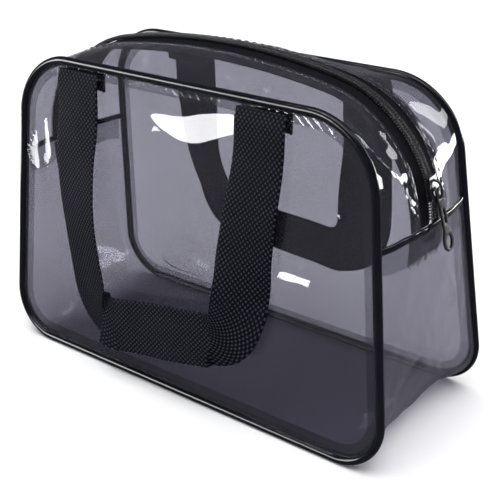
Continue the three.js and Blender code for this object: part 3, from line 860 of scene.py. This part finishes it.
def base_shape(u, y, reach):
    """How far the base gusset stands out of its surface; under the bag it only lifts off the floor."""
    along = u * base_gusset.edge.length
    free = 1 - smoothstep(np.abs(y) / reach, 0.72, 0.98)
    on_floor = 1 - smoothstep(np.abs(u), 0.3, 0.5)
    lift = 0.5 + 0.5 * ripple(along, y, 60, 51) + 0.25 * ripple(along, y, 24, 52)
    wall = 0.8 * ripple(along, y, 70, 53) + 0.25 * ripple(along, y, 22, 54)
    for points, width, height in WALL_CREASES:
        wall = wall + crease(along, y, points, width, height)
    return free * lerp(wall, -np.abs(lift), on_floor)


def above_floor(points):
    """The same points, with any that would lie below the floor brought up to it."""
    points[..., 2] = np.maximum(points[..., 2], 0)
    return points


def make_base():
    u = np.linspace(-1, 1, 330)[:, None]
    reach = base_gusset.reach(u)
    y = (reach + GAP) * np.linspace(-1, 1, 64)
    out = base_shape(u, y, reach)
    layers = [above_floor(base_gusset.at(u, y, out + s * SHEET / 2)) for s in (1, -1)]
    base = slab("base_gusset_sheet", *layers)
    finish_piece(base, BASE_CLEAR, ["base_gusset"])
    size = cut_size(2 * (reach + GAP)[:, 0], u[:, 0] * base_gusset.half_length)
    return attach(base, "bag_lower"), size


# ---- Side seams ----
HANDS = {"right": 1, "left": -1}
SIDE_BULGE = SHOULDER[0] + SHOULDER_R


def side_surface(hand, y, z, offset):
    """A point on the bag's side near its seam: outermost in the middle, drawn in to the panels."""
    v = y / (half_depth(z) - BEAD_R - GAP)
    x = lerp(SIDE_BULGE, half_width(z), v * v) + offset
    return np.stack(np.broadcast_arrays(HANDS[hand] * x, y, z), axis=-1)


def make_binding(hand):
    """The folded tape over a side seam."""
    reach = half_depth(SEAM_Z) - BEAD_R
    y = np.linspace(-reach, reach, 70)
    angle = np.arange(14) * 2 * math.pi / 14
    across, height = (size * np.sign(v) * np.abs(v) ** 0.6
                      for size, v in ((1.05, np.cos(angle)), (1.85, np.sin(angle))))
    sag = 0.25 * ripple(y, 0, 16, 61)
    z = SEAM_Z - 1.2 + sag[:, None] + height
    rings = side_surface(hand, y[:, None], z, across + 0.15 * ripple(y, 0, 9, 62)[:, None])
    binding = loft(hand + "_binding", rings)
    finish_piece(binding, BLACK, [hand + "_seam_binding"])
    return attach(binding, "bag_lower")


def make_seam_allowance(hand):
    reach = half_depth(SEAM_Z) - BEAD_R - GAP - 2.5
    y = np.linspace(-reach, reach, 60)
    low = 108.8 + 1.6 * ripple(y, 0, 40, 63)
    z = lerp(BASE_END - GAP, low[:, None], np.linspace(0, 1, 12))
    curl = 0.5 * ripple(y[:, None], z, 22, 64) * smoothstep(BASE_END - z, 1, 7)
    layers = [side_surface(hand, y[:, None], z, -1.0 - np.abs(curl) + s * SHEET / 2) for s in (1, -1)]
    band = slab(hand + "_allowance", *layers)
    finish_piece(band, ALLOWANCE, [hand + "_seam_allowance"])
    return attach(band, "bag_lower")


TAIL_LOW = 107.6  # where the frayed yarns leave the tape's cut end


def make_tail(hand):
    """The cut end of the zip tapes inside a side seam, with frayed yarns below it."""
    y = np.linspace(-TAPE_EDGE, TAPE_EDGE, 46)
    rng = np.random.default_rng(70 if hand == "right" else 71)
    low = TAIL_LOW - 1 + 0.7 * ripple(y, 0, 7, 72)
    z = lerp(BASE_END - GAP, low[:, None], np.linspace(0, 1, 10))
    inward = -2.2 - 0.8 * smoothstep(BASE_END - z, 3, 15)
    layers = [side_surface(hand, y[:, None], z, inward + s * TAPE / 2) for s in (1, -1)]
    tail = slab(hand + "_tail", *layers, (y[:, None], z))
    finish_piece(tail, TAPE_CLOTH, [hand + "_zip_tail"])
    yarns = []
    for i, start in enumerate(np.linspace(-TAPE_EDGE, TAPE_EDGE, 64)):
        length, lean = rng.uniform(1.5, 5.5), rng.normal(0, 0.45)
        share = np.linspace(0, 1, 6)
        down = TAIL_LOW - length * share
        sway = start + lean * length * share ** 2
        points = side_surface(hand, sway, down, -3.0 - 0.8 * rng.uniform() * share)
        yarns.append(loft(f"yarn_{i}", tube_rings(points, 0.13, 4, np.array([1.0, 0, 0]))))
    frayed = join(hand + "_frayed_yarns", yarns)
    finish_piece(frayed, THREAD)
    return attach(tail, "bag_lower"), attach(frayed, "bag_lower")


# ---- Handles ----
STRAP_TOP_Z = 175.6  # where the strap's curve starts; above it the strand hangs straight
STRAND_TOP_Z = TOP_Z - 3.9
STRAND_BEND_Z = 140
LEFT_SWING = (-14, 115)
RIGHT_SWING = (3, 120)
LOOP_CORNER = 24
LOOP_LEAN = 3
LOOP_RISE = 2
STRAP_DRAPE = 90
END_LENGTH = 12
ACROSS = np.linspace(-WEBBING_WIDTH / 2, WEBBING_WIDTH / 2, 61)
STRANDS = {"front": [(-74, -66), (58, 50)], "back": [(-61, -58), (66, 58)]}
BOTTOMS = {"front": (34, 50), "back": (63, 63)}


def strap_line(side):
    """A strap's middle line: down one strand, across and up the other."""
    (left_top, left), (right_top, right) = STRANDS[side]
    low_left, low_right = BOTTOMS[side]
    left_foot, right_foot = (left, low_left + LOOP_CORNER), (right, low_right + LOOP_CORNER)
    run_start = (left + LOOP_CORNER, low_left + LOOP_RISE)
    run_end = (right - LOOP_CORNER, low_right - LOOP_RISE)
    left_swing = (left + LEFT_SWING[0], LEFT_SWING[1])
    right_swing = (right + RIGHT_SWING[0], RIGHT_SWING[1])
    return Path(
        line((left_top, STRAND_TOP_Z), (left_top, STRAP_TOP_Z)),
        bezier((left_top, STRAP_TOP_Z), (left_top, STRAND_BEND_Z), left_swing, left_foot),
        bezier(left_foot, (left + LOOP_LEAN, low_left), run_start),
        line(run_start, run_end),
        bezier(run_end, (right - LOOP_LEAN, low_right), right_foot),
        bezier(right_foot, right_swing, (right_top, STRAND_BEND_Z), (right_top, STRAP_TOP_Z)),
        line((right_top, STRAP_TOP_Z), (right_top, STRAND_TOP_Z)),
    )


def strap_offset(z):
    """The strap's middle in front of the panel: out from under the bead, and further out lower down."""
    low = lerp(STRAP_TOP_OFFSET, STRAP_LOW_OFFSET, smoothstep(TOP_Z - z, 0, STRAP_DRAPE))
    return low - 1.7 * smoothstep(z, STRAP_TOP_Z, STRAND_TOP_Z)


TWIST = {"front": 0.2, "back": -0.22}  # how far the strap's inner edge stands out for each mm across
RUN_TWIST = {"front": -0.36, "back": 0.0}  # added on the bottom run, which turns its face up
FOLD_STEP = 1.4
FLOAT_ACROSS = 2.7
FLOAT_ALONG = 3.4


def weave_height(across, along):
    """Staggered yarn floats, with a plain selvedge at both edges."""
    cross = np.sin(across * 2 * math.pi / FLOAT_ACROSS) * np.sin(along * 2 * math.pi / FLOAT_ALONG)
    selvedge = smoothstep(WEBBING_WIDTH / 2 - np.abs(across), 0.8, 1.8)
    return 0.2 * np.maximum(cross, -0.15) * selvedge


def corner_folds(side, x, z, across):
    """A strap folds over itself at each lower corner: the run over one strand, the other over the run."""
    (_, left), (_, right) = STRANDS[side]
    half = WEBBING_WIDTH / 2
    past = []
    for foot, low, lean in ((left + half, BOTTOMS[side][0], 0.2), (right - half, BOTTOMS[side][1], 0.1)):
        edge = foot - lean * (low + half - z)
        past.append(smoothstep(x - edge, -0.8, 0.8) * (1 - smoothstep(z, low + half, low + 60)))
    on_run = past[0] - past[1]
    turned = RUN_TWIST[side] * across * on_run * (1 - smoothstep(z, TOP_Z - 100, TOP_Z - 60))
    return FOLD_STEP * (past[0] + past[1]) + turned


def strap_grid(path, t, across):
    """Points of a strap in the panel's plane, as x, z and the height of its middle line there."""
    point, along = path.at(t), path.direction(t)
    x = point[:, :1] - along[:, 1:] * across
    z = point[:, 1:] + along[:, :1] * across
    return x, z, point[:, 1:]


def make_handle(side):
    path = strap_line(side)
    t = np.linspace(0, 1, 690)
    across = ACROSS
    x, z, height = strap_grid(path, t, across)
    along = t[:, None] * path.length + 0 * x
    base = half_depth(height) + strap_offset(height)
    top = smoothstep(TOP_Z - height, 4, 30) * (1 - smoothstep(TOP_Z - height, 30, 60))
    cup = 1.1 * (across / 16) ** 2 * top
    wave = 0.35 * ripple(x, z, 46, 81 if side == "front" else 82) * smoothstep(TOP_Z - height, 6, 40)
    twist = TWIST[side] * across * smoothstep(TOP_Z - height, 30, 100)
    middle = base - cup + wave + twist + corner_folds(side, x, z, across)
    edge = smoothstep(WEBBING_WIDTH / 2 - np.abs(across), -0.3, 1.2)
    half = WEBBING / 2 * lerp(0.45, 1, edge)
    face = half + weave_height(across, along)
    behind = half + 0.4 * weave_height(across, along + FLOAT_ALONG / 2)
    layers = [np.stack([x, SIDES[side] * depth, z], axis=-1) for depth in (middle + face, middle - behind)]
    handle = slab(side + "_webbing", *layers, (across, along))
    roots = [f"{side}_handle_root_{hand}" for hand in HANDS]
    finish_piece(handle, WEBBING_CLOTH, [side + "_handle", *roots])
    size = {"flat": (WEBBING_WIDTH * MM, path.length * MM)}
    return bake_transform(handle), size


def make_handle_end(side, hand):
    """A strand's end, sewn in behind the flange, with its cut edge down inside the bag."""
    middle = STRANDS[side][0][0] if hand == "left" else STRANDS[side][1][0]
    across = ACROSS
    down = np.linspace(0, END_LENGTH, 24)[:, None]
    z = TOP_Z - 2.6 - down + 0 * across
    z = z - smoothstep(down, END_LENGTH - 2, END_LENGTH) * 0.5 * ripple(across, 0, 5, 91)
    weave = weave_height(across, down + 0 * across)
    x = middle + across + 0 * z
    layers = [
        np.stack([x, SIDES[side] * (half_depth(z) - 2.3 + s * (0.6 + weave)), z], axis=-1)
        for s in (1, -1)
    ]
    end = slab(f"{side}_sewn_end_{hand}", *layers, (across, down))
    finish_piece(end, WEBBING_CLOTH, [f"{side}_handle_end_{hand}"])
    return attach(end, side + "_half")


# ---- Slider and pull ----
def plate(name, outline, thickness, bevel, holes=()):
    """A flat plate with rounded edges, drawn in X and Y about Z 0, from closed outlines."""
    curve = bpy.data.curves.new(name, "CURVE")
    curve.dimensions = "2D"
    curve.fill_mode = "BOTH"
    curve.extrude = (thickness / 2 - bevel) * MM
    curve.bevel_depth = bevel * MM
    curve.bevel_resolution = 2
    curve.offset = -bevel * MM
    for ring in (outline, *holes):
        spline = curve.splines.new("POLY")
        spline.points.add(len(ring) - 1)
        for point, (x, y) in zip(spline.points, ring):
            point.co = (x * MM, y * MM, 0, 1)
        spline.use_cyclic_u = True
    drawn = new_object(name + "_curve", curve)
    bpy.context.view_layer.update()
    evaluated = drawn.evaluated_get(bpy.context.evaluated_depsgraph_get())
    mesh = bpy.data.meshes.new_from_object(evaluated)
    bpy.data.objects.remove(drawn)
    return face_out(new_object(name, mesh), merge=True)


# From a plate's X, Y and Z to across the zip, along it and out from it.
PLATE_TURN = Matrix(((0, 0, 1, 0), (1, 0, 0, 0), (0, 1, 0, 0), (0, 0, 0, 1)))


def at_out(out):
    return Matrix.Translation((out * MM, 0, 0)) @ PLATE_TURN


def curve_points(*runs):
    points = np.concatenate(runs)
    keep = np.linalg.norm(points - np.roll(points, 1, axis=0), axis=1) > 0.02
    return points[keep]


FEW = slice(None, None, 25)  # the few points of a curve that a small plate needs


def slider_outline(grow=0.0):
    w, l = SLIDER_WIDTH / 2 + grow, SLIDER_LENGTH / 2 + grow
    right = np.concatenate([
        [(0.3 * w, -l)],
        bezier((0.55 * w, -l), (w, -l), (w, -0.55 * l))[FEW],
        bezier((w, -0.1 * l), (w, 0.3 * l), (0.72 * w, 0.45 * l))[FEW],
        [(0.72 * w, l)],
    ])
    return curve_points(right, right[::-1] * (-1, 1))


ARC_SAG = SLIDER_LENGTH ** 2 / (8 * SHOULDER_R) + GAP
PLATE_TOP = COIL_MIDDLE + COIL_HEIGHT / 2 + ARC_SAG
PLATE_UNDER = TAPE_LOW - TAPE / 2 - ARC_SAG
SLIDER_PLACE = Matrix.Translation((
    (SHOULDER[0] + SHOULDER_R * math.cos(SLIDER_ANGLE)) * MM, 0,
    (SHOULDER[1] + SHOULDER_R * math.sin(SLIDER_ANGLE)) * MM,
)) @ Matrix.Rotation(-SLIDER_ANGLE, 4, "Y")


def make_slider():
    parts = []
    for name, middle in (("top", PLATE_TOP + SLIDER_PLATE / 2), ("under", PLATE_UNDER - SLIDER_PLATE / 2)):
        body = plate("plate_" + name, slider_outline(), SLIDER_PLATE, 0.3)
        body.data.transform(at_out(middle))
        parts.append(body)
    pad = plate("plate_pad", slider_outline(-1.5), 0.5, 0.15)
    pad.data.transform(at_out(PLATE_TOP + SLIDER_PLATE + 0.1))
    parts.append(pad)
    half = SLIDER_LENGTH * 0.34
    depth = PLATE_TOP - PLATE_UNDER + SLIDER_PLATE
    wedge = plate("wedge", curve_points(bezier((-0.25, -1.5), (0, -2), (0.25, -1.5))[::60],
                                        bezier((0.25, 1.0), (0, 2.6), (-0.25, 1.0))[::60]), depth, 0.05)
    wedge.data.transform(at_out((PLATE_TOP + PLATE_UNDER) / 2) @ Matrix.Translation((0, -half * MM, 0)))
    parts.append(wedge)
    foot = PLATE_TOP + SLIDER_PLATE / 2
    rise = BAIL_RISE
    bail = bezier((foot, -half), (foot + rise * 1.2, -half * 1.05), (foot + rise * 1.3, -half * 0.3),
                  (foot + rise * 1.3, half * 0.3), (foot + rise * 1.2, half * 1.05), (foot, half))[::8]
    points = np.stack([bail[:, 0], 0 * bail[:, 0], bail[:, 1]], axis=1)
    parts.append(loft("bail", tube_rings(points, BAIL_WIRE / 2, 12, np.array([0, 1.0, 0]))))
    slider = join("zip_slider", parts)
    slider.data.transform(SLIDER_PLACE)
    finish_piece(slider, METAL, ["slider_body"])
    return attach(slider, "slider")


RING_LENGTH = 12
RING_HALF = 4.2
RING_BULGE = 1.35 * RING_HALF  # how far out the ring's curve is drawn
PULL_NECK = 0.8  # share of the pull's width that the blade keeps below its head
PULL_RIM = 1.5


def make_pull():
    """The pull: a bar under the bail, a tapered blade and an oval ring; it hangs along -Z."""
    w = PULL_WIDTH / 2
    tip = -PULL_LENGTH
    neck = tip + RING_LENGTH
    right = np.concatenate([
        [(w - 0.6, 0.9), (w, 0.3), (w, -6), (PULL_NECK * w, -9)],
        bezier((PULL_NECK * w, neck), (RING_BULGE, tip + 0.7 * RING_LENGTH),
               (RING_BULGE, tip), (0, tip))[FEW],
    ])
    outline = curve_points(right, (right * (-1, 1))[::-1])
    inside = w - PULL_RIM
    slot = [(inside, -0.8), (inside, -5.4), (-inside, -5.4), (-inside, -0.8)]
    turn = np.linspace(0, 2 * math.pi, 28, endpoint=False)
    hole = np.stack([2.4 * np.sin(turn), tip + RING_LENGTH * 0.45 + RING_HALF * np.cos(turn)], axis=1)
    groove = np.stack([1.0 * np.sin(turn), -15.5 + 4.5 * np.cos(turn)], axis=1)
    tab = plate("pull", outline, PULL_THICKNESS, 0.3, [slot, hole, groove])
    tab.data.transform(PLATE_TURN)
    out = PLATE_TOP + SLIDER_PLATE + PIVOT_RISE
    pivot = SLIDER_PLACE @ Vector((out * MM, 0, 0))
    lean = Matrix.Rotation(PULL_LEAN, 4, "X") @ Matrix.Rotation(-PULL_OUT, 4, "Y")
    tab.data.transform(Matrix.Translation(pivot) @ lean)
    pull = join("zip_pull", [tab])
    finish_piece(pull, METAL, ["pull_tab"])
    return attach(pull, "pull")


# ---- The bag ----
def make_bag():
    base, size = make_base()
    for side in SIDES:
        make_piping(side)
        make_allowance(side)
        panel, size = make_panel(side)
        strip, size = make_strip(side)
        make_tape(side)
        make_coil(side)
        make_coil_thread(side)
        make_topstitch(side)
        handle, size = make_handle(side)
        for hand in HANDS:
            make_handle_end(side, hand)
    for hand in HANDS:
        make_binding(hand)
        make_seam_allowance(hand)
        make_tail(hand)
    make_slider()
    make_pull()


# ---- Floor, light and camera ----
FLOOR_RADIUS = 6.0
AIM = Vector((0, 0, 0.0945))
AZIMUTH = math.radians(39.91)
ELEVATION = math.radians(23.60)
ROLL = math.radians(-2.09)
DISTANCE = 0.635
LENS = 77.86
SHIFT = (0.035, -0.060)


def make_floor():
    n = Nodes(bpy.data.materials.new("floor"))
    tone = n.noise(n.place(), 3, 3)
    pale = n.add("ShaderNodeBsdfDiffuse", {0: n.colour(tone, (0.90, 0.90, 0.905), (0.93, 0.93, 0.935))})
    dim = n.add("ShaderNodeBsdfDiffuse", {0: (0.3, 0.3, 0.31, 1)})
    mirrored = n.add("ShaderNodeLightPath").outputs["Is Glossy Ray"]
    material = n.finish(n.mix(mirrored, pale.outputs[0], dim.outputs[0]))
    angle = np.arange(64) * 2 * math.pi / 64
    points = np.stack([np.cos(angle), np.sin(angle), 0 * angle], axis=1) * FLOOR_RADIUS / MM
    floor = make_object("floor", points, [list(range(64))])
    floor.location.z = -0.0002
    floor.data.materials.append(material)


def area_light(name, place, aim, size, power):
    lamp = bpy.data.lights.new(name, "AREA")
    lamp.shape = "RECTANGLE"
    lamp.size, lamp.size_y = size
    lamp.energy = power
    obj = new_object(name, lamp)
    obj.location = place
    obj.rotation_mode = "QUATERNION"
    obj.rotation_quaternion = (Vector(aim) - Vector(place)).to_track_quat("-Z", "Y")
    obj.visible_camera = False
    return obj


def make_light():
    area_light("overhead", (0.1, -0.2, 1.7), (0, 0, 0), (1.6, 1.6), 20)
    sky = bpy.data.lights.new("sky", "SUN")
    sky.energy, sky.angle = 2.2, math.radians(80)
    new_object("sky", sky).visible_glossy = False
    for highlight in (
        ("window", (-1.05, -1.25, 0.42), (0, 0, 0.12), (1.25, 0.75), 120),
        ("rim", (0.75, 0.72, 0.95), (0.05, 0, 0.12), (0.30, 0.9), 15),
        ("strip", (-0.1, -0.5, 1.5), (0, 0, 0.15), (1.4, 0.10), 30),
        ("left_card", (-0.62, -0.20, 0.01), (-0.62, -0.20, 1), (0.30, 0.30), 6),
        ("far_window", (0.74, 1.25, 0.13), (0.1, 0, 0.08), (0.95, 0.26), 34),
    ):
        area_light(*highlight).visible_diffuse = False
    n = Nodes(bpy.data.worlds.new("studio"))
    bpy.context.scene.world = n.owner
    seen = n.add("ShaderNodeLightPath").outputs["Is Camera Ray"]
    lit, shown = (n.add("ShaderNodeBackground", {0: tone}).outputs[0]
                  for tone in ((0.25, 0.25, 0.27, 1), (1, 1, 1, 1)))
    n.add("ShaderNodeOutputWorld", {0: n.mix(seen, lit, shown)})


def make_camera():
    back = Vector((
        math.sin(AZIMUTH) * math.cos(ELEVATION),
        -math.cos(AZIMUTH) * math.cos(ELEVATION),
        math.sin(ELEVATION),
    ))
    right = Vector((0, 0, 1)).cross(back).normalized()
    up = back.cross(right)
    rolled_right = right * math.cos(ROLL) + up * math.sin(ROLL)
    rolled_up = up * math.cos(ROLL) - right * math.sin(ROLL)
    camera = new_object("camera", bpy.data.cameras.new("camera"))
    turn = Matrix((rolled_right, rolled_up, back)).transposed().to_4x4()
    camera.matrix_world = Matrix.Translation(AIM + back * DISTANCE) @ turn
    camera.data.sensor_width = 36
    camera.data.lens = LENS
    camera.data.shift_x, camera.data.shift_y = SHIFT
    bpy.context.scene.camera = camera
    bpy.context.scene.view_settings.view_transform = "Standard"


make_camera()
make_floor()
make_light()
make_bag()
